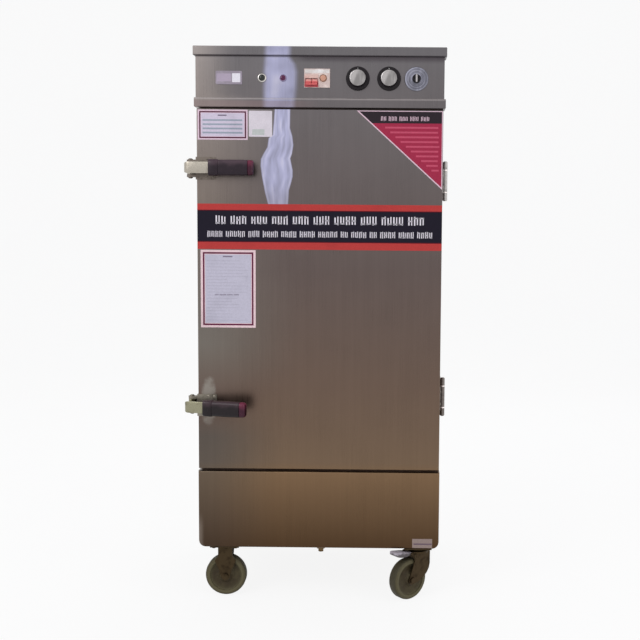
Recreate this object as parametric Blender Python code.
# Rice steamer cabinet: a foam-insulated steel cabinet on casters, with one door and a control panel.
# Lengths are in metres. The door's front plane is y = 0, the floor is z = 0 and x = 0 is the door's middle.
# At the end the cabinet's empty moves the whole model, so that its bounding box is centred in x and y.

import math

import bmesh
import bpy
from mathutils import Vector

# Fits and sheet
fit_gap = 0.0003
sheet = 0.0015
thin_sheet = 0.001
overrun = 0.004
weld_bite = 0.0008
circle_sides = 28
small_circle_sides = 16
tiny_circle_sides = 10
arc_steps = 4

# Overall sizes
cabinet_depth = 0.620
body_width = 0.729
wheel_radius = 0.0625
caster_wheel_clearance = 0.035
base_panel_height = 0.235
base_door_gap = 0.008
door_side_inset = 0.002
door_height = 1.0725
door_thickness = 0.050
door_fascia_gap = 0.0045
fascia_height = 0.176
seal_gap = 0.0065

# Sizes that follow
caster_height = wheel_radius * 2 + caster_wheel_clearance
door_width = body_width - door_side_inset * 2
base_top = caster_height + base_panel_height
door_low = base_top + base_door_gap
door_high = door_low + door_height
fascia_low = door_high + door_fascia_gap
total_height = fascia_low + fascia_height
frame_front = door_thickness + seal_gap
body_half = body_width / 2
door_half = door_width / 2

# Body
wall_thickness = 0.048
frame_thickness = 0.002
frame_sill_height = 0.042
frame_head_height = 0.0505
roof_lap_height = 0.025
base_corner_radius = 0.020
base_edge_radius = 0.005
chassis_flange_height = 0.035
chassis_thickness = 0.0025

body_back = cabinet_depth
panel_half = body_half - sheet - fit_gap
frame_back = frame_front + frame_thickness
chamber_half = body_half - wall_thickness
chamber_back = body_back - wall_thickness
chamber_low = base_top + frame_sill_height
chamber_high = door_high - frame_head_height
chamber_height = chamber_high - chamber_low
chamber_depth = chamber_back - frame_back
roof_top = total_height - fit_gap
roof_low = roof_top - sheet

# Fascia
upper_lip_height = 0.0274
upper_lip_reach = 0.0065
lower_lip_height = 0.0275
lower_lip_reach = 0.0045
lip_edge_radius = 0.0025

# Water tank, racks and trays
tank_depth = 0.150
tank_wall = 0.0015
tank_rim_width = 0.010
rack_levels = 12
rack_first_level = 0.030
rack_top_margin = 0.078
rack_ledge_width = 0.016
rack_front_inset = 0.030
rack_back_gap = 0.0335
rack_side_gap = 0.001
tray_end_margin = 0.025
tray_height = 0.045
tray_rim_width = 0.016
tray_side_clearance = 0.003
tray_levels = (3, 8)

rack_pitch = (chamber_height - rack_first_level - rack_top_margin) / (rack_levels - 1)
rack_length = chamber_depth - rack_front_inset - rack_back_gap
tray_depth = rack_length - tray_end_margin * 2

# Heating element
heater_tube_radius = 0.006
heater_leg_spacing = 0.060
heater_length = 0.380
heater_height = 0.050
heater_legs = 4
heater_flange_margin = 0.0275
heater_flange_height = 0.036
heater_flange_thickness = 0.006

# Drain and its valve
drain_from_frame = 0.0365
drain_drop = 0.039
drain_pipe_radius = 0.008
drain_body_radius = 0.013
drain_body_height = 0.026
drain_body_drop = 0.029
drain_hole_clearance = 0.002
drain_collar_radius = 0.014
drain_collar_height = 0.004
drain_stem_radius = 0.004
drain_stem_length = 0.022
drain_handle_length = 0.050
drain_handle_width = 0.012
drain_handle_thickness = 0.0025
drain_handle_hub_radius = 0.008

drain_y = frame_back + drain_from_frame
drain_tip = caster_height - drain_drop
drain_body_low = caster_height - drain_body_drop

# Steam vent and cable gland at the back
vent_from_side = 0.1495
vent_from_chamber_top = 0.085
vent_outer_radius = 0.016
vent_inner_radius = 0.0135
vent_flange_radius = 0.027
vent_flange_thickness = 0.003
vent_reach = 0.030
gland_from_side = 0.1095
gland_from_top = 0.096
gland_body_radius = 0.011
gland_nut_radius = 0.015
gland_nut_thickness = 0.008
gland_dome_radius = 0.010
gland_reach = 0.024
gland_bore_radius = 0.006
gland_inside = 0.014

vent_x = body_half - vent_from_side
vent_z = chamber_high - vent_from_chamber_top
gland_x = -body_half + gland_from_side
gland_z = total_height - gland_from_top

# Door
door_edge_radius = 0.002
door_inner_relief = 0.003
door_relief_inset = 0.048
door_relief_slope = 0.004
gasket_width = 0.018
gasket_lap = 0.009

# Hinges
hinge_height = 0.114
hinge_upper_drop = 0.204
hinge_lower_rise = 0.2166
hinge_end_knuckle_share = 0.19
hinge_barrel_radius = 0.0068
hinge_pin_radius = 0.0035
hinge_bore_radius = 0.0039
hinge_axis_outset = 0.0077
hinge_axis_behind_door = 0.0032
hinge_leaf_thickness = 0.0025
hinge_leaf_width = 0.032
hinge_knuckle_gap = 0.0005
hinge_pin_head_radius = 0.005
hinge_pin_head_height = 0.002

hinge_upper_z = door_high - hinge_upper_drop
hinge_lower_z = door_low + hinge_lower_rise
hinge_axis_x = body_half + hinge_axis_outset
hinge_axis_y = door_thickness + hinge_axis_behind_door

# Latches
latch_upper_drop = 0.174
latch_lower_rise = 0.193
strike_thickness = 0.003
strike_width = 0.034
strike_height = 0.040
latch_pin_outset = 0.0217
latch_pin_y = 0.016
latch_lower_opening_deg = 14
bracket_height = 0.066
bracket_sheet = 0.0025
bracket_front_reach = 0.056
bracket_side_reach = 0.036
bracket_ear_thickness = 0.004
bracket_ear_radius = 0.011
bracket_ear_spacing = 0.043
bracket_screw_radius = 0.0035
bracket_screw_height = 0.0022
bracket_screw_inset = 0.0085
bracket_screw_spacing = 0.017
bracket_screw_rise = 0.006
latch_pin_radius = 0.004
latch_pin_head_radius = 0.007
latch_pin_head_height = 0.004
lever_height = 0.034
lever_thickness = 0.006
lever_knuckle_radius = 0.0105
lever_bore_radius = 0.0043
lever_bend_radius = 0.012
lever_standoff = 0.036
lever_length = 0.0625
lever_tang_length = 0.060
lever_tang_height = 0.024
grip_length = 0.1315
grip_height = 0.045
grip_thickness = 0.028
grip_corner_radius = 0.009
grip_end_taper = 0.004
grip_collar_length = 0.030
grip_collar_rise = 0.0015
grip_tang_clearance = 0.0004

latch_upper_z = door_high - latch_upper_drop
latch_lower_z = door_low + latch_lower_rise
latch_pin_x = -door_half - latch_pin_outset
lever_end_x = latch_pin_x + lever_length

# Controls on the fascia. The shares are of the free width: from the left end, between them, to the right end
control_height_share = 0.483
control_gap_shares = (0.186, 0.140, 0.1185, 0.1625, 0.1455, 0.067, 0.0325, 0.148)
badge_width = 0.078
badge_height = 0.039
badge_thickness = 0.0015
badge_corner_radius = 0.004
badge_edge_radius = 0.0005
lamp_left_bezel_radius = 0.0135
lamp_left_lens_radius = 0.0085
lamp_right_bezel_radius = 0.0105
lamp_right_lens_radius = 0.0080
lamp_bezel_height = 0.004
lamp_lens_height = 0.0065
lamp_body_radius = 0.0058
lamp_body_length = 0.028
lamp_hole_radius = 0.0062
lamp_dome_shares = (0.8, 0.4)
breaker_width = 0.0757
breaker_height = 0.0544
breaker_depth = 0.045
breaker_front = 0.004
breaker_window_clearance = 0.0005
breaker_flange = 0.0015
toggle_button_gap = 0.00745
toggle_pocket_height = 0.0185
toggle_pocket_depth = 0.0185
toggle_pocket_left = 0.003
toggle_pocket_low = 0.0083
toggle_barrel_radius = 0.0085
toggle_side_clearance = 0.0003
toggle_handle_length = 0.020
toggle_handle_thickness = 0.006
toggle_rest_deg = 30
test_button_radius = 0.0085
test_button_inset = 0.0201
test_button_reach = 0.003
test_button_length = 0.008
test_button_clearance = 0.0004
knob_skirt_radius = 0.0350
knob_skirt_height = 0.009
knob_body_radius = 0.0262
knob_cap_radius = 0.0230
knob_height = 0.020
knob_edge = 0.0015
knob_shaft_radius = 0.005
knob_shaft_length = 0.020
knob_hole_radius = 0.0065
selector_plate_radius = 0.0350
selector_plate_thickness = 0.003
selector_ring_radius = 0.0215
selector_ring_height = 0.0045
selector_hole_radius = 0.0075
selector_rotor_radius = 0.0125
selector_rotor_height = 0.010
selector_bar_width = 0.005
selector_bar_height = 0.005

control_middle_z = fascia_low + fascia_height * control_height_share
toggle_pocket_width = (
    breaker_width - toggle_pocket_left - test_button_inset - test_button_radius - toggle_button_gap)

# Casters
wheel_width = 0.034
wheel_edge_radius = 0.006
wheel_edge_share = 0.3
wheel_web_inset = 0.006
wheel_rim_width = 0.016
wheel_hub_radius = 0.017
wheel_hub_width = 0.039
wheel_bore_radius = 0.0064
axle_radius = 0.006
axle_head_radius = 0.009
axle_head_height = 0.005
fork_sheet = 0.0035
fork_inner_gap = 0.0415
fork_leg_top_width = 0.044
fork_leg_end_radius = 0.014
rigid_plate_length = 0.088
rigid_plate_width = 0.078
rigid_plate_thickness = 0.004
rigid_caster_inset = 0.0765
swivel_caster_inset = 0.0630
caster_front_inset = 0.046
caster_back_inset = 0.062
swivel_plate_size = 0.084
swivel_plate_thickness = 0.004
raceway_radius = 0.031
raceway_height = 0.009
swivel_crown_radius = 0.033
swivel_crown_height = 0.007
swivel_trail = 0.040
swivel_running_gap = 0.0005
kingpin_radius = 0.006
kingpin_bore_radius = 0.0065
kingpin_head_height = 0.0025
swivel_front_turn_deg = -50
swivel_rear_turn_deg = 35
pedal_width = 0.036
pedal_thickness = 0.003
pedal_pivot_radius = 0.0045
pedal_pivot_bore_radius = 0.0022
pedal_pin_radius = 0.002
pedal_pivot_forward = 0.0395
pedal_reach = 0.052
pedal_lip_height = 0.008
pedal_rise = 0.010
pedal_side_gap = 0.0005
pedal_lug_thickness = 0.003
pedal_lug_radius = 0.0048
pedal_lug_root = 0.0132
pedal_bend_share = 0.8
pedal_bend_rise_share = 0.3
pedal_lip_share = 0.2


def control_places():
    """The middles of the controls along the fascia, which share the free width between them."""
    widths = (
        badge_width, lamp_left_bezel_radius * 2, lamp_right_bezel_radius * 2, breaker_width,
        knob_skirt_radius * 2, knob_skirt_radius * 2, selector_plate_radius * 2,
    )
    free = body_width - sum(widths)
    places = []
    x = -body_half
    for width, share in zip(widths, control_gap_shares):
        x += free * share + width / 2
        places.append(x)
        x += width / 2
    return places


badge_x, lamp_left_x, lamp_right_x, breaker_x, timer_x, thermostat_x, selector_x = control_places()
test_button_x = breaker_x + breaker_width / 2 - test_button_inset


def clear_scene():
    for thing in list(bpy.data.objects):
        bpy.data.objects.remove(thing, do_unlink=True)


def material(name, colour, metallic, roughness):
    """A Principled material, made once for each name."""
    found = bpy.data.materials.get(name)
    if found:
        return found
    made = bpy.data.materials.new(name)
    made.use_nodes = True
    shader = made.node_tree.nodes["Principled BSDF"]
    shader.inputs["Base Color"].default_value = (*colour, 1)
    shader.inputs["Metallic"].default_value = metallic
    shader.inputs["Roughness"].default_value = roughness
    made.diffuse_color = (*colour, 1)
    return made


def brushed_steel():
    return material("brushed_steel", (0.42, 0.41, 0.40), 1, 0.32)


def liner_steel():
    return material("liner_steel", (0.60, 0.60, 0.60), 1, 0.25)


def chrome():
    return material("chrome", (0.75, 0.74, 0.72), 1, 0.12)


def zinc():
    return material("zinc", (0.38, 0.37, 0.33), 1, 0.45)


def black_plastic():
    return material("black_plastic", (0.02, 0.02, 0.025), 0, 0.35)


def foam():
    return material("foam", (0.80, 0.70, 0.42), 0, 0.9)


def seal_rubber():
    return material("seal_rubber", (0.55, 0.54, 0.52), 0, 0.7)


def at(axis, first, second, along):
    """A point, from its two coordinates across an axis and the one along it."""
    if axis == "X":
        return Vector((along, first, second))
    if axis == "Y":
        return Vector((first, along, second))
    return Vector((first, second, along))


def rectangle(low, high, offset=0):
    """The corners of a rectangle, moved outwards by the offset."""
    left, bottom = low[0] - offset, low[1] - offset
    right, top = high[0] + offset, high[1] + offset
    return [(left, bottom), (right, bottom), (right, top), (left, top)]


def arc(centre, radius, start, end, steps=arc_steps):
    """Points on an arc, with both its ends. The angles are in degrees."""
    points = []
    for step in range(steps + 1):
        angle = math.radians(start + (end - start) * step / steps)
        points.append((centre[0] + radius * math.cos(angle), centre[1] + radius * math.sin(angle)))
    return points


def rounded_rectangle(low, high, radius, offset=0):
    """A rectangle with round corners, moved outwards by the offset."""
    reach = radius + offset
    return (
        arc((low[0] + radius, low[1] + radius), reach, 180, 270)
        + arc((high[0] - radius, low[1] + radius), reach, 270, 360)
        + arc((high[0] - radius, high[1] - radius), reach, 0, 90)
        + arc((low[0] + radius, high[1] - radius), reach, 90, 180)
    )


def circle(centre, radius, sides=circle_sides):
    return arc(centre, radius, 0, 360, sides)[:-1]


def loft(mesh, loops, ring=False):
    """Joins loops of points one to the next. The ends are capped or, in a ring, joined to each other."""
    rows = [[mesh.verts.new(point) for point in loop] for loop in loops]
    pairs = list(zip(rows, rows[1:]))
    if ring:
        pairs.append((rows[-1], rows[0]))
    else:
        mesh.faces.new(rows[0])
        mesh.faces.new(rows[-1])
    for near, far in pairs:
        for i in range(len(near)):
            j = (i + 1) % len(near)
            mesh.faces.new((near[i], near[j], far[j], far[i]))


def prism(axis, outline, start, end):
    """A solid with this outline across an axis."""
    mesh = bmesh.new()
    loft(mesh, [[at(axis, a, b, along) for a, b in outline] for along in (start, end)])
    return mesh


def block(low, high):
    """A box between two opposite corners."""
    return prism("Z", rectangle(low[:2], high[:2]), low[2], high[2])


def turned(axis, centre, profile, sides=circle_sides, ring=False):
    """A solid of revolution. The profile lists radius and place along the axis."""
    mesh = bmesh.new()
    loft(mesh, [[at(axis, a, b, along) for a, b in circle(centre, radius, sides)]
                for radius, along in profile], ring)
    return mesh


def shaped(axis, outline, profile, ring=False):
    """A solid whose outline grows and shrinks. The profile lists offset and place along the axis."""
    mesh = bmesh.new()
    loft(mesh, [[at(axis, a, b, along) for a, b in outline(offset)] for offset, along in profile], ring)
    return mesh


def frame_place(thing):
    """Where an empty stands in the cabinet's own frame, before any of its turns at rest."""
    place = Vector((0, 0, 0))
    while thing is not None and thing.parent is not None:
        place += thing.location
        thing = thing.parent
    return place


def empty(name, place, parent, turn_deg=0):
    """A joint's empty, turned about +Z when the piece rests turned."""
    made = bpy.data.objects.new(name, None)
    bpy.context.scene.collection.objects.link(made)
    made.parent = parent
    made.location = Vector(place) - frame_place(parent)
    made.rotation_euler.z = math.radians(turn_deg)
    return made


def piece(name, mesh, finish, parent, smooth=False):
    """A named object from a mesh in the cabinet's frame, with its origin on its parent's."""
    bmesh.ops.recalc_face_normals(mesh, faces=mesh.faces)
    bmesh.ops.translate(mesh, verts=mesh.verts, vec=-frame_place(parent))
    data = bpy.data.meshes.new(name)
    mesh.to_mesh(data)
    mesh.free()
    made = bpy.data.objects.new(name, data)
    bpy.context.scene.collection.objects.link(made)
    made.parent = parent
    if finish is not None:
        data.materials.append(finish)
    if smooth:
        data.shade_smooth()
        data.set_sharp_from_angle(angle=math.radians(35))
    return made


def change(target, mesh, operation, label):
    """Cuts a helper mesh from a piece, or joins it to the piece, with a Boolean modifier."""
    helper = piece(f"{target.name}_{label}", mesh, None, target.parent)
    helper.hide_render = True
    helper.display_type = "WIRE"
    modifier = target.modifiers.new(label, "BOOLEAN")
    modifier.operation = operation
    modifier.solver = "EXACT"
    modifier.object = helper


def cut(target, mesh, label):
    change(target, mesh, "DIFFERENCE", label)


def join(target, mesh, label):
    change(target, mesh, "UNION", label)


def drilled(target, axis, centre, radius, start, end, label, sides=small_circle_sides):
    cut(target, turned(axis, centre, [(radius, start), (radius, end)], sides), label)


# Body


def side_panels(cabinet):
    for side, name in ((-1, "side_panel_left"), (1, "side_panel_right")):
        inner, outer = sorted((side * (body_half - sheet), side * body_half))
        low = (inner, frame_front, caster_height)
        high = (outer, body_back - sheet - fit_gap, roof_low - fit_gap)
        panel = piece(name, block(low, high), brushed_steel(), cabinet)
        if side < 0:
            for middle, label in ((latch_upper_z, "strike_upper"), (latch_lower_z, "strike_lower")):
                pad_low = (outer_face(side, strike_thickness), frame_front, middle - strike_height / 2)
                pad_back = frame_front + strike_width
                pad_high = (outer_face(side, -weld_bite), pad_back, middle + strike_height / 2)
                join(panel, block(pad_low, pad_high), label)


def outer_face(side, reach):
    """A place on one of the cabinet's sides, this far outside its face."""
    return side * (body_half + reach)


def back_panel(cabinet):
    low = (-body_half, body_back - sheet, caster_height)
    high = (body_half, body_back, roof_low - fit_gap)
    panel = piece("back_panel", block(low, high), brushed_steel(), cabinet)
    start, end = body_back - sheet - overrun, body_back + overrun
    drilled(panel, "Y", (vent_x, vent_z), vent_outer_radius + fit_gap, start, end, "vent_hole")
    drilled(panel, "Y", (gland_x, gland_z), gland_body_radius + fit_gap, start, end, "gland_hole")


def roof_panel(cabinet):
    """A lid whose turned-down edges lap the sides and the back."""
    low = (-body_half - fit_gap, frame_front + fit_gap)
    high = (body_half + fit_gap, body_back + fit_gap)

    def outline(offset):
        left, right = low[0] - offset, high[0] + offset
        return [(left, low[1]), (right, low[1]), (right, high[1] + offset), (left, high[1] + offset)]

    lap_low = roof_low - roof_lap_height
    lid = prism("Z", outline(sheet), roof_low, roof_top)
    panel = piece("roof_panel", lid, brushed_steel(), cabinet)
    for side, label in ((-1, "left_edge"), (1, "right_edge")):
        inner, outer = sorted((side * high[0], side * (high[0] + sheet)))
        edge_low = (inner, low[1], lap_low)
        edge_high = (outer, high[1] + sheet, roof_low + weld_bite)
        join(panel, block(edge_low, edge_high), label)
    edge_low = (-high[0] - weld_bite, high[1], lap_low)
    edge_high = (high[0] + weld_bite, high[1] + sheet, roof_low + weld_bite)
    join(panel, block(edge_low, edge_high), "back_edge")


def front_frame(cabinet):
    """The bulkhead that carries the fascia and base panel, with the chamber's mouth."""
    low, high = (-panel_half, chassis_top() + fit_gap), (panel_half, roof_low - fit_gap)
    mouth = rectangle((-chamber_half, chamber_low), (chamber_half, chamber_high))
    edge = rectangle(low, high)
    mesh = bmesh.new()
    loops = []
    faces = ((edge, frame_front), (mouth, frame_front), (mouth, frame_back), (edge, frame_back))
    for outline, along in faces:
        loops.append([at("Y", a, b, along) for a, b in outline])
    loft(mesh, loops, ring=True)
    piece("front_frame", mesh, brushed_steel(), cabinet)


def chassis_top():
    return caster_height + chassis_thickness


def chassis_pan(cabinet):
    """The floor of the cabinet, a pan with turned-up edges that the casters bolt to."""
    low = (-panel_half, frame_back + fit_gap)
    high = (panel_half, body_back - sheet - fit_gap)
    rim = caster_height + chassis_flange_height

    def outline(offset):
        return rectangle(low, high, offset)

    pan = shaped("Z", outline, [
        (0, caster_height), (0, rim), (-chassis_thickness, rim), (-chassis_thickness, chassis_top()),
    ])
    pan = piece("chassis_pan", pan, brushed_steel(), cabinet)
    hole = drain_pipe_radius + drain_hole_clearance
    drilled(pan, "Z", (0, drain_y), hole, caster_height - overrun, chassis_top() + overrun, "drain_hole")


def base_front_panel(cabinet):
    """The panel below the door, a pan with round lower corners and a round front edge."""
    low, high = (-body_half, caster_height), (body_half, base_top)
    back = frame_front - fit_gap

    def outline(offset):
        radius = base_corner_radius
        reach = radius + offset
        return (
            arc((low[0] + radius, low[1] + radius), reach, 180, 270)
            + arc((high[0] - radius, low[1] + radius), reach, 270, 360)
            + [(high[0] + offset, high[1] + offset), (low[0] - offset, high[1] + offset)]
        )

    edge = [(-base_edge_radius + a, base_edge_radius + b)
            for a, b in arc((0, 0), base_edge_radius, 270, 360)]
    profile = edge + [(0, back), (-sheet, back), (-sheet, base_edge_radius)]
    inner = base_edge_radius - sheet
    for a, b in arc((0, 0), inner, 360, 270):
        profile.append((-base_edge_radius + a, base_edge_radius + b))
    piece("base_front_panel", shaped("Y", outline, profile), brushed_steel(), cabinet, smooth=True)


def fascia_section():
    """The fascia's folded section. Each point has its reach outwards and its height."""
    top, low = total_height, fascia_low
    upper = total_height - upper_lip_height
    lower = fascia_low + lower_lip_height
    radius = lip_edge_radius
    flange = -frame_front + fit_gap
    outer = [(flange, top)]
    outer += arc((upper_lip_reach - radius, top - radius), radius, 90, 0)
    outer += arc((upper_lip_reach - radius, upper + radius), radius, 0, -90)
    outer += [(0, upper), (0, lower)]
    outer += arc((lower_lip_reach - radius, lower - radius), radius, 90, 0)
    outer += arc((lower_lip_reach - radius, low + radius), radius, 0, -90)
    outer += [(flange, low)]
    inner = [
        (flange, low + sheet), (lower_lip_reach - sheet, low + sheet),
        (lower_lip_reach - sheet, lower - sheet), (-sheet, lower - sheet),
        (-sheet, upper + sheet), (upper_lip_reach - sheet, upper + sheet),
        (upper_lip_reach - sheet, top - sheet), (flange, top - sheet),
    ]
    return outer + inner


def control_fascia(cabinet):
    """The folded control panel, swept round the cabinet's front with mitred corners."""
    section = fascia_section()
    back = frame_front - fit_gap
    mesh = bmesh.new()
    loops = [
        [Vector((-body_half - reach, back, z)) for reach, z in section],
        [Vector((-body_half - reach, -reach, z)) for reach, z in section],
        [Vector((body_half + reach, -reach, z)) for reach, z in section],
        [Vector((body_half + reach, back, z)) for reach, z in section],
    ]
    loft(mesh, loops)
    panel = piece("control_fascia", mesh, brushed_steel(), cabinet)
    start, end = -overrun, sheet + overrun
    holes = (
        (lamp_left_x, lamp_hole_radius, "lamp_hole_left"),
        (lamp_right_x, lamp_hole_radius, "lamp_hole_right"),
        (timer_x, knob_hole_radius, "timer_hole"), (thermostat_x, knob_hole_radius, "thermostat_hole"),
        (selector_x, knob_hole_radius, "selector_hole"),
    )
    for x, radius, label in holes:
        drilled(panel, "Y", (x, control_middle_z), radius, start, end, label)
    half_x = breaker_width / 2 - breaker_flange + breaker_window_clearance
    half_z = breaker_height / 2 - breaker_flange + breaker_window_clearance
    window_low = (breaker_x - half_x, start, control_middle_z - half_z)
    window_high = (breaker_x + half_x, end, control_middle_z + half_z)
    cut(panel, block(window_low, window_high), "breaker_window")


# Chamber


def liner_outline(offset):
    """The liner's walls as seen from above, open at the front."""
    low = (-chamber_half, frame_back + fit_gap)
    high = (chamber_half, chamber_back)
    left, right = low[0] - offset, high[0] + offset
    return left, right, low[1], high[1] + offset


def chamber_liner(cabinet):
    """The chamber's inner skin: two sides, a back and a ceiling, open at the front and below."""
    left, right, front, back = liner_outline(thin_sheet)
    low = (left, front, base_top + fit_gap)
    high = (right, back, chamber_high + thin_sheet)
    liner = piece("chamber_liner", block(low, high), liner_steel(), cabinet)
    left, right, front, back = liner_outline(0)
    hollow_low = (left, front - overrun, base_top - overrun)
    cut(liner, block(hollow_low, (right, back, chamber_high)), "hollow")
    start, end = chamber_back - overrun, chamber_back + thin_sheet + overrun
    drilled(liner, "Y", (vent_x, vent_z), vent_outer_radius + fit_gap, start, end, "vent_hole")


def insulation_jacket(cabinet):
    """The foam between the liner and the outer panels."""
    low = (-panel_half, frame_back + fit_gap, base_top + fit_gap)
    high = (panel_half, body_back - sheet - fit_gap, chamber_high + wall_thickness)
    jacket = piece("insulation_jacket", block(low, high), foam(), cabinet)
    left, right, front, back = liner_outline(thin_sheet + fit_gap)
    hollow_low = (left, front - overrun, base_top - overrun)
    cut(jacket, block(hollow_low, (right, back, chamber_high + thin_sheet + fit_gap)), "hollow")
    start, end = chamber_back - overrun, body_back + overrun
    drilled(jacket, "Y", (vent_x, vent_z), vent_outer_radius + fit_gap, start, end, "vent_hole")


def tank_low():
    return base_top - tank_depth


def water_tank(cabinet):
    """An open pan under the chamber, whose rim carries the chamber's walls."""
    half = chamber_half - tank_rim_width
    low = (-half, frame_back + fit_gap + tank_rim_width)
    high = (half, chamber_back - tank_rim_width)

    def outline(offset):
        return rectangle(low, high, offset)

    floor, rim = tank_low(), base_top
    tank = shaped("Z", outline, [
        (0, floor), (0, rim - tank_wall), (tank_rim_width, rim - tank_wall), (tank_rim_width, rim),
        (-tank_wall, rim), (-tank_wall, floor + tank_wall),
    ])
    tank = piece("water_tank", tank, liner_steel(), cabinet)
    hole = drain_pipe_radius + fit_gap
    drilled(tank, "Z", (0, drain_y), hole, floor - overrun, floor + tank_wall + overrun, "drain_hole")


def rack_level(level):
    """The top of one of the rack's ledges."""
    return chamber_low + rack_first_level + level * rack_pitch


def tray_racks(cabinet):
    """Folded racks with a ledge for each tray, one on each side of the chamber."""
    outer = chamber_half - rack_side_gap
    wall = outer - thin_sheet
    ledge = wall - rack_ledge_width
    low, high = base_top + fit_gap, rack_level(rack_levels - 1) + rack_pitch / 2
    for side, name in ((-1, "tray_rack_left"), (1, "tray_rack_right")):
        section = [(side * wall, low)]
        for level in range(rack_levels):
            top = rack_level(level)
            for x, z in ((wall, top - thin_sheet), (ledge, top - thin_sheet), (ledge, top), (wall, top)):
                section.append((side * x, z))
        section += [(side * wall, high), (side * outer, high), (side * outer, low)]
        front = frame_back + rack_front_inset
        mesh = bmesh.new()
        loft(mesh, [[Vector((x, y, z)) for x, z in section] for y in (front, front + rack_length)])
        piece(name, mesh, liner_steel(), cabinet)


def trays(cabinet):
    """Loose trays, standing on two of the rack's levels."""
    half = chamber_half - rack_side_gap - thin_sheet - tray_side_clearance - tray_rim_width
    front = frame_back + rack_front_inset
    low, high = (-half, front + tray_rim_width), (half, front + tray_depth - tray_rim_width)

    def outline(offset):
        return rounded_rectangle(low, high, tray_rim_width, offset)

    for level, name in zip(tray_levels, ("tray_lower", "tray_upper")):
        rim = rack_level(level) + fit_gap + thin_sheet
        floor = rim - tray_height
        tray = shaped("Z", outline, [
            (0, floor), (0, rim - thin_sheet), (tray_rim_width, rim - thin_sheet), (tray_rim_width, rim),
            (-thin_sheet, rim), (-thin_sheet, floor + thin_sheet),
        ])
        piece(name, tray, liner_steel(), cabinet)


def heating_element(cabinet):
    """A bent tube above the tank's floor, in a flange on the tank's back wall."""
    height = tank_low() + tank_wall + heater_height
    wall = chamber_back - tank_rim_width - tank_wall - fit_gap
    flange_front = wall - heater_flange_thickness
    front = wall - heater_length
    bend = heater_leg_spacing / 2
    first = -heater_leg_spacing * (heater_legs - 1) / 2
    points = [(first, wall - heater_flange_thickness / 2)]
    for leg in range(heater_legs):
        x = first + leg * heater_leg_spacing
        if leg % 2 == 0:
            points.append((x, front))
            if leg < heater_legs - 1:
                points += arc((x + bend, front), bend, 180, 360)[1:-1]
                points.append((x + heater_leg_spacing, front))
        elif leg < heater_legs - 1:
            turn = flange_front - heater_leg_spacing
            points.append((x, turn))
            points += arc((x + bend, turn), bend, 180, 0)[1:-1]
            points.append((x + heater_leg_spacing, turn))
        else:
            points.append((x, wall - heater_flange_thickness / 2))
    tube = tube_mesh([Vector((x, y, height)) for x, y in points], heater_tube_radius)
    heater = piece("heating_element", tube, zinc(), cabinet, smooth=True)
    half_x = -first + heater_flange_margin
    half_z = heater_flange_height / 2
    flange = block((-half_x, flange_front, height - half_z), (half_x, wall, height + half_z))
    join(heater, flange, "flange")


def tube_mesh(path, radius, sides=tiny_circle_sides):
    """A round tube along a path that lies level."""
    mesh = bmesh.new()
    loops = []
    for i, point in enumerate(path):
        before = path[max(i - 1, 0)]
        after = path[min(i + 1, len(path) - 1)]
        along = (after - before).normalized()
        across = along.cross(Vector((0, 0, 1))).normalized()
        ring = []
        for a, b in circle((0, 0), radius, sides):
            ring.append(point + across * a + Vector((0, 0, b)))
        loops.append(ring)
    loft(mesh, loops)
    return mesh


def drain(cabinet):
    """The drain pipe from the tank's floor, with a ball valve below the chassis and its handle."""
    top = tank_low() + tank_wall
    body_high = drain_body_low + drain_body_height
    collar = tank_low() - fit_gap
    pipe = turned("Z", (0, drain_y), [
        (drain_pipe_radius, drain_tip), (drain_pipe_radius, drain_body_low),
        (drain_body_radius, drain_body_low), (drain_body_radius, body_high),
        (drain_pipe_radius, body_high), (drain_pipe_radius, collar - drain_collar_height),
        (drain_collar_radius, collar - drain_collar_height), (drain_collar_radius, collar),
        (drain_pipe_radius, collar), (drain_pipe_radius, top),
    ], small_circle_sides)
    valve = piece("drain_valve", pipe, zinc(), cabinet, smooth=True)
    stem_z = drain_body_low + drain_body_height / 2
    stem_end = drain_y + drain_stem_length
    stem = turned("Y", (0, stem_z), [(drain_stem_radius, drain_y), (drain_stem_radius, stem_end)],
                  small_circle_sides)
    join(valve, stem, "stem")
    bore = drain_pipe_radius - sheet
    drilled(valve, "Z", (0, drain_y), bore, drain_tip - overrun, drain_body_low, "outlet_bore")
    pivot = empty("drain_handle_pivot", (0, stem_end, stem_z), cabinet)
    near = stem_end - drain_handle_thickness * 2
    hub = turned("Y", (0, stem_z), [
        (drain_handle_hub_radius, near), (drain_handle_hub_radius, near + drain_handle_thickness),
    ], small_circle_sides)
    handle = piece("drain_handle", hub, material("handle_red", (0.55, 0.05, 0.04), 0, 0.4), pivot)
    half = drain_handle_width / 2
    arm_low = (0, near, stem_z - half)
    arm_high = (drain_handle_length, near + drain_handle_thickness, stem_z + half)
    join(handle, block(arm_low, arm_high), "arm")
    start, end = near - overrun, near + drain_handle_thickness + overrun
    drilled(handle, "Y", (0, stem_z), drain_stem_radius + fit_gap, start, end, "bore")


def steam_vent(cabinet):
    """A pipe from the chamber through the back wall, with a flange outside."""
    inside = chamber_back
    flange = body_back + fit_gap
    mesh = turned("Y", (vent_x, vent_z), [
        (vent_inner_radius, inside), (vent_outer_radius, inside), (vent_outer_radius, flange),
        (vent_flange_radius, flange), (vent_flange_radius, flange + vent_flange_thickness),
        (vent_outer_radius, flange + vent_flange_thickness), (vent_outer_radius, body_back + vent_reach),
        (vent_inner_radius, body_back + vent_reach),
    ], small_circle_sides, ring=True)
    piece("steam_vent", mesh, brushed_steel(), cabinet, smooth=True)


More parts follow.
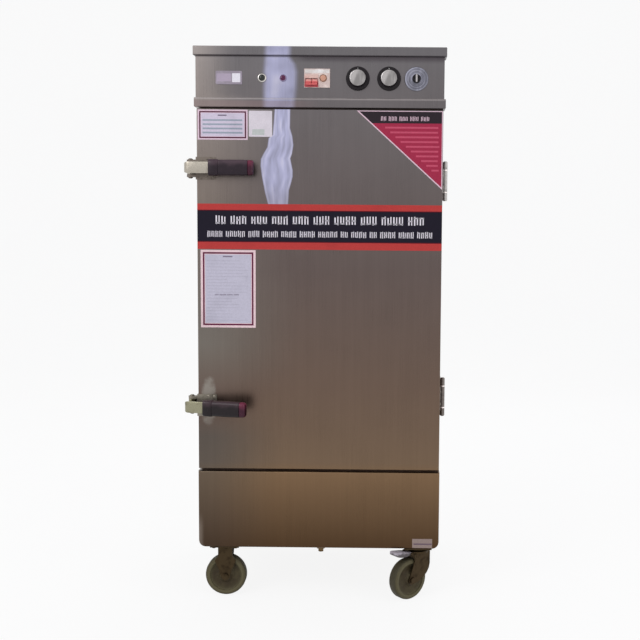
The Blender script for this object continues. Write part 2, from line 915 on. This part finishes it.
def cable_gland(cabinet):
    """The supply cable's gland at the back of the control space."""
    face = body_back + fit_gap
    nut = face + gland_nut_thickness
    mesh = turned("Y", (gland_x, gland_z), [
        (gland_bore_radius, body_back - gland_inside), (gland_body_radius, body_back - gland_inside),
        (gland_body_radius, face), (gland_nut_radius, face), (gland_nut_radius, nut),
        (gland_dome_radius, nut), (gland_dome_radius, body_back + gland_reach - gland_nut_thickness / 2),
        (gland_bore_radius + thin_sheet, body_back + gland_reach),
        (gland_bore_radius, body_back + gland_reach),
    ], small_circle_sides, ring=True)
    piece("cable_gland", mesh, black_plastic(), cabinet, smooth=True)


# Door


def door_outline(offset):
    return rectangle((-door_half, door_low), (door_half, door_high), offset)


def door_shell(door):
    """The door's outer pan."""
    radius = door_edge_radius
    profile = [(-radius + a, radius + b) for a, b in arc((0, 0), radius, 270, 360)]
    profile += [(0, door_thickness), (-thin_sheet, door_thickness), (-thin_sheet, thin_sheet)]
    piece("door_shell", shaped("Y", door_outline, profile), brushed_steel(), door)


def door_insulation(door):
    inset = thin_sheet + fit_gap
    front, back = inset, door_thickness - thin_sheet - door_inner_relief - fit_gap
    piece("door_insulation", shaped("Y", door_outline, [(-inset, front), (-inset, back)]), foam(), door)


def door_inner_panel(door):
    """The door's inner sheet, pressed in towards the foam in its middle."""
    inset = thin_sheet + fit_gap
    back = door_thickness
    pressed = back - door_inner_relief
    margin, slope = door_relief_inset, door_relief_slope
    mesh = shaped("Y", door_outline, [
        (-inset - margin - slope, pressed - thin_sheet), (-inset - margin, pressed - thin_sheet),
        (-inset, pressed - thin_sheet), (-inset, back), (-inset - margin, back),
        (-inset - margin - slope, pressed),
    ])
    piece("door_inner_panel", mesh, liner_steel(), door)


def door_gasket(door):
    """The rubber ring that meets the front frame round the chamber's mouth."""
    low = (-chamber_half - gasket_lap, chamber_low - gasket_lap)
    high = (chamber_half + gasket_lap, chamber_high + gasket_lap)

    def outline(offset):
        return rectangle(low, high, offset)

    front, back = door_thickness + fit_gap, frame_front - fit_gap
    section = [(0, front), (gasket_width, front), (gasket_width, back), (0, back)]
    mesh = shaped("Y", outline, section, ring=True)
    piece("door_gasket", mesh, seal_rubber(), door)


def hinge_frame_leaf(name, middle, cabinet):
    """The fixed leaf with its two end knuckles and the pin."""
    centre = (hinge_axis_x, hinge_axis_y)
    low, high = middle - hinge_height / 2, middle + hinge_height / 2
    knuckle = hinge_height * hinge_end_knuckle_share
    head = hinge_pin_head_height
    pin = turned("Z", centre, [
        (hinge_pin_head_radius, low - head), (hinge_pin_head_radius, low + weld_bite),
        (hinge_pin_radius, low + weld_bite), (hinge_pin_radius, high - weld_bite),
        (hinge_pin_head_radius, high - weld_bite), (hinge_pin_head_radius, high + head),
    ], small_circle_sides)
    leaf = piece(name, pin, zinc(), cabinet, smooth=True)
    spans = ((low, low + knuckle), (high - knuckle, high))
    near = body_half + fit_gap
    for (start, end), label in zip(spans, ("low", "high")):
        profile = [(hinge_barrel_radius, start), (hinge_barrel_radius, end)]
        join(leaf, turned("Z", centre, profile, small_circle_sides), f"knuckle_{label}")
        web_low = (near, hinge_axis_y, start)
        web_high = (near + hinge_leaf_thickness, hinge_axis_y + hinge_barrel_radius + overrun, end)
        join(leaf, block(web_low, web_high), f"web_{label}")
    front = hinge_axis_y + hinge_barrel_radius + hinge_knuckle_gap
    plate_low = (near, front, low)
    plate_high = (near + hinge_leaf_thickness, front + hinge_leaf_width, high)
    join(leaf, block(plate_low, plate_high), "plate")


def hinge_door_leaf(name, middle, door):
    """The moving leaf with the middle knuckle."""
    centre = (hinge_axis_x, hinge_axis_y)
    knuckle = hinge_height * hinge_end_knuckle_share
    low = middle - hinge_height / 2 + knuckle + hinge_knuckle_gap
    high = middle + hinge_height / 2 - knuckle - hinge_knuckle_gap
    near = door_half + fit_gap
    profile = [(hinge_barrel_radius, low), (hinge_barrel_radius, high)]
    barrel = turned("Z", centre, profile, small_circle_sides)
    leaf = piece(name, barrel, zinc(), door, smooth=True)
    back = hinge_axis_y
    plate_low = (near, back - hinge_barrel_radius - hinge_leaf_width, low)
    plate_high = (near + hinge_leaf_thickness, back, high)
    join(leaf, block(plate_low, plate_high), "plate")
    spacer_high = (hinge_axis_x, back, high)
    spacer_low = (near, back - hinge_leaf_thickness, low)
    join(leaf, block(spacer_low, spacer_high), "spacer")
    drilled(leaf, "Z", centre, hinge_bore_radius, low - overrun, high + overrun, "bore")


def latch_bracket(name, middle, door):
    """An angle bracket round the door's edge, with two ears and a riveted pin."""
    half = bracket_height / 2
    side = -door_half - fit_gap
    front = -fit_gap
    outline = [
        (side, bracket_side_reach), (side - bracket_sheet, bracket_side_reach),
        (side - bracket_sheet, front - bracket_sheet), (side + bracket_front_reach, front - bracket_sheet),
        (side + bracket_front_reach, front), (side, front),
    ]
    bracket = piece(name, prism("Z", outline, middle - half, middle + half), chrome(), door, smooth=True)
    centre = (latch_pin_x, latch_pin_y)
    radius = bracket_ear_radius
    ear = arc(centre, radius, 90, 270, arc_steps * 2) + [
        (side - weld_bite, latch_pin_y - radius), (side - weld_bite, latch_pin_y + radius)]
    for side_sign, label in ((-1, "lower_ear"), (1, "upper_ear")):
        inner = middle + side_sign * bracket_ear_spacing / 2
        outer = inner + side_sign * bracket_ear_thickness
        join(bracket, prism("Z", ear, inner, outer), label)
    pin_end = bracket_ear_spacing / 2 + bracket_ear_thickness
    head = pin_end + latch_pin_head_height
    neck = pin_end - weld_bite
    shoulder = head - latch_pin_head_height / 2
    join(bracket, turned("Z", centre, [
        (latch_pin_radius, middle - head), (latch_pin_head_radius, middle - shoulder),
        (latch_pin_head_radius, middle - neck), (latch_pin_radius, middle - neck),
        (latch_pin_radius, middle + neck), (latch_pin_head_radius, middle + neck),
        (latch_pin_head_radius, middle + shoulder), (latch_pin_radius, middle + head),
    ], small_circle_sides), "pin")
    screw_back = front - bracket_sheet + weld_bite
    for row in (-1, 1):
        for column in range(2):
            x = side + bracket_front_reach - bracket_screw_inset - column * bracket_screw_spacing
            z = middle + row * (half - bracket_screw_rise)
            screw = turned("Y", (x, z), [
                (bracket_screw_radius, screw_back),
                (bracket_screw_radius, screw_back - weld_bite - bracket_screw_height / 2),
                (bracket_screw_radius / 2, screw_back - weld_bite - bracket_screw_height),
            ], tiny_circle_sides)
            join(bracket, screw, f"screw_{row + 1}_{column}")


def strap_outline():
    """The lever from above: from its knuckle forwards, round a bend and along the door's front."""
    half = lever_thickness / 2
    bend = lever_bend_radius
    corner = (latch_pin_x + bend, -lever_standoff + bend)
    end = lever_end_x + lever_tang_length
    outer = arc(corner, bend + half, 180, 270)
    inner = arc(corner, bend - half, 270, 180)
    return (
        [(latch_pin_x - half, latch_pin_y)] + outer
        + [(end, -lever_standoff - half), (end, -lever_standoff + half)]
        + inner + [(latch_pin_x + half, latch_pin_y)]
    )


def latch_lever(name, middle, pivot):
    """The cast lever: knuckle, bent arm and the tang inside the grip."""
    half = lever_height / 2
    strap = prism("Z", strap_outline(), middle - half, middle + half)
    lever = piece(name, strap, chrome(), pivot, smooth=True)
    tang_half = lever_tang_height / 2
    end = lever_end_x + lever_tang_length + overrun
    near, far = -lever_standoff - lever_thickness, -lever_standoff + lever_thickness
    above = block((lever_end_x, near, middle + tang_half), (end, far, middle + half + overrun))
    below = block((lever_end_x, near, middle - half - overrun), (end, far, middle - tang_half))
    cut(lever, above, "tang_top")
    cut(lever, below, "tang_low")
    centre = (latch_pin_x, latch_pin_y)
    profile = [(lever_knuckle_radius, middle - half), (lever_knuckle_radius, middle + half)]
    join(lever, turned("Z", centre, profile, small_circle_sides), "knuckle")
    drilled(lever, "Z", centre, lever_bore_radius, middle - half - overrun, middle + half + overrun, "bore")


def latch_grip(name, middle, pivot):
    """The moulded grip on the lever's tang."""
    start = lever_end_x + fit_gap
    half_y, half_z = grip_thickness / 2, grip_height / 2
    low = (-lever_standoff - half_y, middle - half_z)
    high = (-lever_standoff + half_y, middle + half_z)

    def outline(offset):
        return rounded_rectangle(low, high, grip_corner_radius, offset)

    collar = start + grip_collar_length
    end = start + grip_length
    mesh = shaped("X", outline, [
        (0, start), (grip_collar_rise, start + grip_collar_rise),
        (grip_collar_rise, collar - grip_collar_rise),
        (0, collar), (0, end - grip_end_taper), (-grip_end_taper, end),
    ])
    grip = piece(name, mesh, black_plastic(), pivot, smooth=True)
    gap = grip_tang_clearance
    half_y, half_z = lever_thickness / 2 + gap, lever_tang_height / 2 + gap
    socket_low = (start - overrun, -lever_standoff - half_y, middle - half_z)
    socket_high = (lever_end_x + lever_tang_length + gap, -lever_standoff + half_y, middle + half_z)
    cut(grip, block(socket_low, socket_high), "socket")


def door_assembly(cabinet):
    door = empty("door_hinge_axis", (hinge_axis_x, hinge_axis_y, door_low), cabinet)
    door_shell(door)
    door_insulation(door)
    door_inner_panel(door)
    door_gasket(door)
    for label, middle in (("upper", hinge_upper_z), ("lower", hinge_lower_z)):
        hinge_frame_leaf(f"hinge_frame_leaf_{label}", middle, cabinet)
        hinge_door_leaf(f"hinge_door_leaf_{label}", middle, door)
    latches = (("upper", latch_upper_z, 0), ("lower", latch_lower_z, -latch_lower_opening_deg))
    for label, middle, turn in latches:
        latch_bracket(f"latch_bracket_{label}", middle, door)
        pivot = empty(f"latch_pivot_{label}", (latch_pin_x, latch_pin_y, middle), door, turn)
        latch_lever(f"latch_lever_{label}", middle, pivot)
        latch_grip(f"latch_grip_{label}", middle, pivot)


# Controls


def blank_badge(cabinet):
    half_x, half_z = badge_width / 2, badge_height / 2
    low = (badge_x - half_x, control_middle_z - half_z)
    high = (badge_x + half_x, control_middle_z + half_z)

    def outline(offset):
        return rounded_rectangle(low, high, badge_corner_radius, offset)

    front = -fit_gap - badge_thickness
    mesh = shaped("Y", outline, [(0, -fit_gap), (0, front + badge_edge_radius), (-badge_edge_radius, front)])
    piece("blank_badge", mesh, material("badge", (0.75, 0.70, 0.74), 0.4, 0.35), cabinet)


def pilot_lamp(name, x, bezel, lens, colour, cabinet):
    rim = -fit_gap - lamp_bezel_height
    dome = -fit_gap - lamp_lens_height
    edge_share, crown_share = lamp_dome_shares
    mesh = turned("Y", (x, control_middle_z), [
        (lamp_body_radius, lamp_body_length), (lamp_body_radius, -fit_gap), (bezel, -fit_gap),
        (bezel, rim + lamp_bezel_height / 2), ((bezel + lens) / 2, rim), (lens, rim),
        (lens, rim + lamp_bezel_height / 4), (lens * edge_share, dome + lamp_bezel_height / 2),
        (lens * crown_share, dome + lamp_bezel_height / 4),
    ], small_circle_sides)
    piece(name, mesh, material(name, colour, 0, 0.15), cabinet, smooth=True)


def breaker(cabinet):
    """The breaker's body in its window, its toggle and its test button."""
    half_x, half_z = breaker_width / 2, breaker_height / 2
    low_x, high_x = breaker_x - half_x, breaker_x + half_x
    low_z, high_z = control_middle_z - half_z, control_middle_z + half_z
    cream = material("breaker_cream", (0.72, 0.66, 0.60), 0, 0.4)

    def outline(offset):
        return rectangle((low_x, low_z), (high_x, high_z), offset)

    mesh = shaped("Y", outline, [
        (-breaker_flange, breaker_depth), (-breaker_flange, -fit_gap), (0, -fit_gap),
        (0, -breaker_front + badge_edge_radius), (-badge_edge_radius, -breaker_front),
    ])
    body = piece("breaker_body", mesh, cream, cabinet)
    pocket_left = low_x + toggle_pocket_left
    pocket_low = low_z + toggle_pocket_low
    pocket_right = pocket_left + toggle_pocket_width
    pocket_high = pocket_low + toggle_pocket_height
    pocket = block((pocket_left, -breaker_front - overrun, pocket_low),
                   (pocket_right, -breaker_front + toggle_pocket_depth, pocket_high))
    cut(body, pocket, "toggle_pocket")
    button = (test_button_x, control_middle_z)
    bore = test_button_radius + test_button_clearance
    drilled(body, "Y", button, bore, -breaker_front - overrun, test_button_length, "button_bore")

    axis_y = -breaker_front + toggle_barrel_radius
    axis_z = (pocket_low + pocket_high) / 2
    pivot = empty("breaker_toggle_pivot", (breaker_x, axis_y, axis_z), cabinet)
    start, end = pocket_left + toggle_side_clearance, pocket_right - toggle_side_clearance
    barrel = turned("X", (axis_y, axis_z), [(toggle_barrel_radius, start), (toggle_barrel_radius, end)],
                    small_circle_sides)
    toggle = piece("breaker_toggle", barrel, material("toggle_red", (0.62, 0.10, 0.06), 0, 0.35), pivot,
                   smooth=True)
    angle = math.radians(180 + toggle_rest_deg)
    along = Vector((0, math.cos(angle), math.sin(angle)))
    across = Vector((0, -along.z, along.y)) * toggle_handle_thickness / 2
    root = Vector((0, axis_y, axis_z))
    tip = root + along * toggle_handle_length
    corners = [root + across, tip + across, tip - across, root - across]
    handle = bmesh.new()
    loft(handle, [[Vector((x, point.y, point.z)) for point in corners] for x in (start, end)])
    join(toggle, handle, "handle")

    press = empty("test_button_slide", (test_button_x, -breaker_front, control_middle_z), cabinet)
    back = -breaker_front + test_button_length / 2
    front = -breaker_front - test_button_reach
    mesh = turned("Y", button, [
        (test_button_radius, back), (test_button_radius, front + badge_edge_radius),
        (test_button_radius - badge_edge_radius, front),
    ], small_circle_sides)
    piece("breaker_test_button", mesh, material("button_tan", (0.45, 0.27, 0.17), 0, 0.4), press, smooth=True)


def round_knob(name, x, cabinet):
    """A skirted knob on its shaft."""
    pivot = empty(f"{name}_axis", (x, 0, control_middle_z), cabinet)
    skirt = -fit_gap - knob_skirt_height
    mesh = turned("Y", (x, control_middle_z), [
        (knob_shaft_radius, knob_shaft_length), (knob_shaft_radius, -fit_gap),
        (knob_skirt_radius - knob_edge, -fit_gap), (knob_skirt_radius, -fit_gap - knob_edge),
        (knob_skirt_radius, skirt + knob_edge * 2), (knob_skirt_radius - knob_edge * 2, skirt),
        (knob_body_radius, skirt), (knob_body_radius - knob_edge, -knob_height + knob_edge),
        (knob_body_radius - knob_edge * 2, -knob_height), (knob_cap_radius, -knob_height),
        (knob_cap_radius - knob_edge, -knob_height - knob_edge / 2),
    ])
    piece(name, mesh, black_plastic(), pivot, smooth=True)


def selector(cabinet):
    """A round plate with a small turning switch in its middle."""
    centre = (selector_x, control_middle_z)
    face = -fit_gap - selector_plate_thickness
    ring_face = -fit_gap - selector_ring_height
    mesh = turned("Y", centre, [
        (selector_hole_radius, -fit_gap), (selector_plate_radius, -fit_gap),
        (selector_plate_radius, face + knob_edge), (selector_plate_radius - knob_edge, face),
        (selector_ring_radius, face), (selector_ring_radius - knob_edge, ring_face),
        (selector_hole_radius, ring_face),
    ], ring=True)
    plate = material("selector_plate", (0.52, 0.52, 0.58), 0.9, 0.35)
    piece("selector_plate", mesh, plate, cabinet, smooth=True)
    pivot = empty("selector_axis", (selector_x, 0, control_middle_z), cabinet)
    back = ring_face - fit_gap
    front = back - selector_rotor_height
    rotor = turned("Y", centre, [
        (knob_shaft_radius, knob_shaft_length), (knob_shaft_radius, back), (selector_rotor_radius, back),
        (selector_rotor_radius, front + knob_edge), (selector_rotor_radius - knob_edge, front),
    ], small_circle_sides)
    rotor = piece("selector_rotor", rotor, black_plastic(), pivot, smooth=True)
    half = selector_bar_width / 2
    tall = selector_rotor_radius - knob_edge
    low = (selector_x - half, front - selector_bar_height, control_middle_z - tall)
    high = (selector_x + half, front + weld_bite, control_middle_z + tall)
    join(rotor, block(low, high), "bar")


# Casters


def wheel_profile(middle):
    """A thick rim, a thinner web and a hub, from one side of the wheel to the other."""
    half, edge = wheel_width / 2, wheel_edge_radius
    web = half - wheel_web_inset
    rim = wheel_radius - wheel_rim_width
    hub = wheel_hub_width / 2
    bevel = edge * wheel_edge_share
    right = [
        (wheel_radius, middle), (wheel_radius, middle + half - edge),
        (wheel_radius - bevel, middle + half - bevel), (wheel_radius - edge, middle + half),
        (rim, middle + half), (rim - wheel_web_inset / 2, middle + web),
        (wheel_hub_radius + wheel_web_inset / 2, middle + web), (wheel_hub_radius, middle + hub),
        (wheel_bore_radius, middle + hub),
    ]
    left = [(radius, middle * 2 - place) for radius, place in reversed(right[1:])]
    return left + right


def wheel_and_axle(label, axis, x, y, parent):
    """A wheel across an axis, and its bolt through the fork with a head and a nut."""
    spin = empty(f"caster_wheel_{label}_axle_line", (x, y, wheel_radius), parent)
    middle, other = (x, y) if axis == "X" else (y, x)
    centre = (other, wheel_radius)
    mesh = turned(axis, centre, wheel_profile(middle), circle_sides, ring=True)
    olive = material("caster_olive", (0.075, 0.068, 0.045), 0, 0.55)
    piece(f"caster_wheel_{label}", mesh, olive, spin, smooth=True)
    outside = fork_inner_gap / 2 + fork_sheet + fit_gap
    end = outside + axle_head_height
    bolt = turned(axis, centre, [
        (axle_head_radius, middle - end), (axle_head_radius, middle - outside),
        (axle_radius, middle - outside), (axle_radius, middle + outside),
        (axle_head_radius, middle + outside), (axle_head_radius, middle + end),
    ], small_circle_sides)
    piece(f"caster_axle_{label}", bolt, zinc(), parent, smooth=True)


def fork_legs(fork, axis, centre, middle, top, top_centre):
    """Adds both legs to a fork, broad at its crown and round at the axle, and drills them for the axle."""
    wide = fork_leg_top_width / 2
    outline = arc((centre, wheel_radius), fork_leg_end_radius, 180, 360, arc_steps * 2) + [
        (top_centre + wide, top), (top_centre - wide, top)]
    for side, label in ((-1, "leg_left"), (1, "leg_right")):
        inner = middle + side * fork_inner_gap / 2
        join(fork, prism(axis, outline, inner, inner + side * fork_sheet), label)
    reach = fork_inner_gap / 2 + fork_sheet + overrun
    drilled(fork, axis, (centre, wheel_radius), axle_radius + fit_gap, middle - reach, middle + reach,
            "axle_hole")


def rigid_caster(label, x, y, cabinet):
    """A fixed caster that rolls along X."""
    top = caster_height - fit_gap
    half_x, half_y = rigid_plate_length / 2, rigid_plate_width / 2
    plate_low = (x - half_x, y - half_y, top - rigid_plate_thickness)
    plate = block(plate_low, (x + half_x, y + half_y, top))
    fork = piece(f"caster_fork_{label}", plate, zinc(), cabinet)
    fork_legs(fork, "Y", x, y, top - rigid_plate_thickness + weld_bite, x)
    wheel_and_axle(label, "Y", x, y, cabinet)


def swivel_caster(label, x, y, turn_deg, cabinet):
    """A swivel caster with a brake pedal. It is built trailing towards -Y, and its empty turns it."""
    top = caster_height - fit_gap
    plate_low = top - swivel_plate_thickness
    race_low = plate_low - raceway_height
    half = swivel_plate_size / 2
    plate = piece(f"caster_plate_{label}", block((x - half, y - half, plate_low), (x + half, y + half, top)),
                  zinc(), cabinet)
    crown_high = race_low - swivel_running_gap
    crown_low = crown_high - swivel_crown_height
    pin_low = crown_low - swivel_running_gap - kingpin_head_height
    join(plate, turned("Z", (x, y), [
        (kingpin_radius * 2, pin_low), (kingpin_radius * 2, crown_low - swivel_running_gap),
        (kingpin_radius, crown_low - swivel_running_gap), (kingpin_radius, race_low),
        (raceway_radius - raceway_height / 2, race_low), (raceway_radius, race_low + raceway_height / 2),
        (raceway_radius, plate_low + weld_bite),
    ], small_circle_sides), "raceway")

    swivel = empty(f"caster_swivel_{label}", (x, y, crown_low), cabinet, turn_deg)
    hub_y = y - swivel_trail
    crown = turned("Z", (x, y), [(swivel_crown_radius, crown_low), (swivel_crown_radius, crown_high)])
    fork = piece(f"caster_fork_{label}", crown, zinc(), swivel)
    fork_legs(fork, "X", hub_y, x, crown_low + weld_bite, y)
    drilled(fork, "Z", (x, y), kingpin_bore_radius, crown_low - overrun, crown_high + overrun, "kingpin_bore")
    brake_pedal(label, x, y, crown_low, crown_high, fork, swivel)
    wheel_and_axle(label, "X", x, hub_y, swivel)


def brake_pedal(label, x, y, crown_low, crown_high, fork, swivel):
    """A foot pedal on two lugs of the crown, reaching out over the wheel."""
    pivot_y = y - pedal_pivot_forward
    pivot_z = (crown_low + crown_high) / 2
    half = pedal_width / 2
    for side, lug in ((-1, "lug_left"), (1, "lug_right")):
        inner = x + side * (half + pedal_side_gap)
        outer = inner + side * pedal_lug_thickness
        outline = arc((pivot_y, pivot_z), pedal_lug_radius, 90, 270, arc_steps * 2) + [
            (y - pedal_lug_root, pivot_z - pedal_lug_radius + weld_bite), (y - pedal_lug_root, crown_high)]
        join(fork, prism("X", outline, inner, outer), lug)
    reach = half + pedal_side_gap + pedal_lug_thickness - fit_gap
    join(fork, turned("X", (pivot_y, pivot_z), [(pedal_pin_radius, x - reach), (pedal_pin_radius, x + reach)],
                      small_circle_sides), "pedal_pin")

    pivot = empty(f"pedal_pivot_{label}", (x, pivot_y, pivot_z), swivel)
    barrel = turned("X", (pivot_y, pivot_z), [(pedal_pivot_radius, x - half), (pedal_pivot_radius, x + half)],
                    small_circle_sides)
    pedal = piece(f"brake_pedal_{label}", barrel, zinc(), pivot, smooth=True)
    tip = (pivot_y - pedal_reach, pivot_z + pedal_rise)
    thick = pedal_thickness
    bend_y = pivot_y - pedal_reach * pedal_bend_share
    bend_z = pivot_z + pedal_rise * pedal_bend_rise_share
    outline = [
        (pivot_y, pivot_z + thick / 2), (bend_y, bend_z + thick / 2), (tip[0], tip[1] + thick),
        (tip[0] - thick, tip[1] + thick - pedal_lip_height * pedal_lip_share),
        (tip[0] - thick, tip[1] - thick),
        (bend_y, bend_z - thick / 2), (pivot_y, pivot_z - thick / 2),
    ]
    join(pedal, prism("X", outline, x - half, x + half), "tread")
    drilled(pedal, "X", (pivot_y, pivot_z), pedal_pivot_bore_radius, x - half - overrun, x + half + overrun,
            "bore")


def casters(cabinet):
    front = caster_front_inset
    back = cabinet_depth - caster_back_inset
    left = -body_half + rigid_caster_inset
    right = body_half - swivel_caster_inset
    rigid_caster("front_left", left, front, cabinet)
    rigid_caster("rear_left", left, back, cabinet)
    swivel_caster("front_right", right, front, swivel_front_turn_deg, cabinet)
    swivel_caster("rear_right", right, back, swivel_rear_turn_deg, cabinet)


def centre_on_origin(cabinet):
    """Moves the cabinet so that the middle of its bounding box stands over the origin."""
    graph = bpy.context.evaluated_depsgraph_get()
    points = []
    for thing in bpy.data.objects:
        if thing.type == "MESH" and not thing.hide_render:
            built = thing.evaluated_get(graph)
            points += [built.matrix_world @ vertex.co for vertex in built.data.vertices]
    for axis in range(2):
        places = [point[axis] for point in points]
        cabinet.location[axis] = -(min(places) + max(places)) / 2


def main():
    clear_scene()
    cabinet = bpy.data.objects.new("cabinet", None)
    bpy.context.scene.collection.objects.link(cabinet)
    for build in (side_panels, back_panel, roof_panel, front_frame, chassis_pan, base_front_panel,
                  control_fascia, chamber_liner, insulation_jacket, water_tank, tray_racks, trays,
                  heating_element, drain, steam_vent, cable_gland, door_assembly, blank_badge):
        build(cabinet)
    pilot_lamp("pilot_lamp_left", lamp_left_x, lamp_left_bezel_radius, lamp_left_lens_radius,
               (0.10, 0.13, 0.11), cabinet)
    pilot_lamp("pilot_lamp_right", lamp_right_x, lamp_right_bezel_radius, lamp_right_lens_radius,
               (0.20, 0.03, 0.12), cabinet)
    breaker(cabinet)
    round_knob("timer_knob", timer_x, cabinet)
    round_knob("thermostat_knob", thermostat_x, cabinet)
    selector(cabinet)
    casters(cabinet)
    centre_on_origin(cabinet)


main()
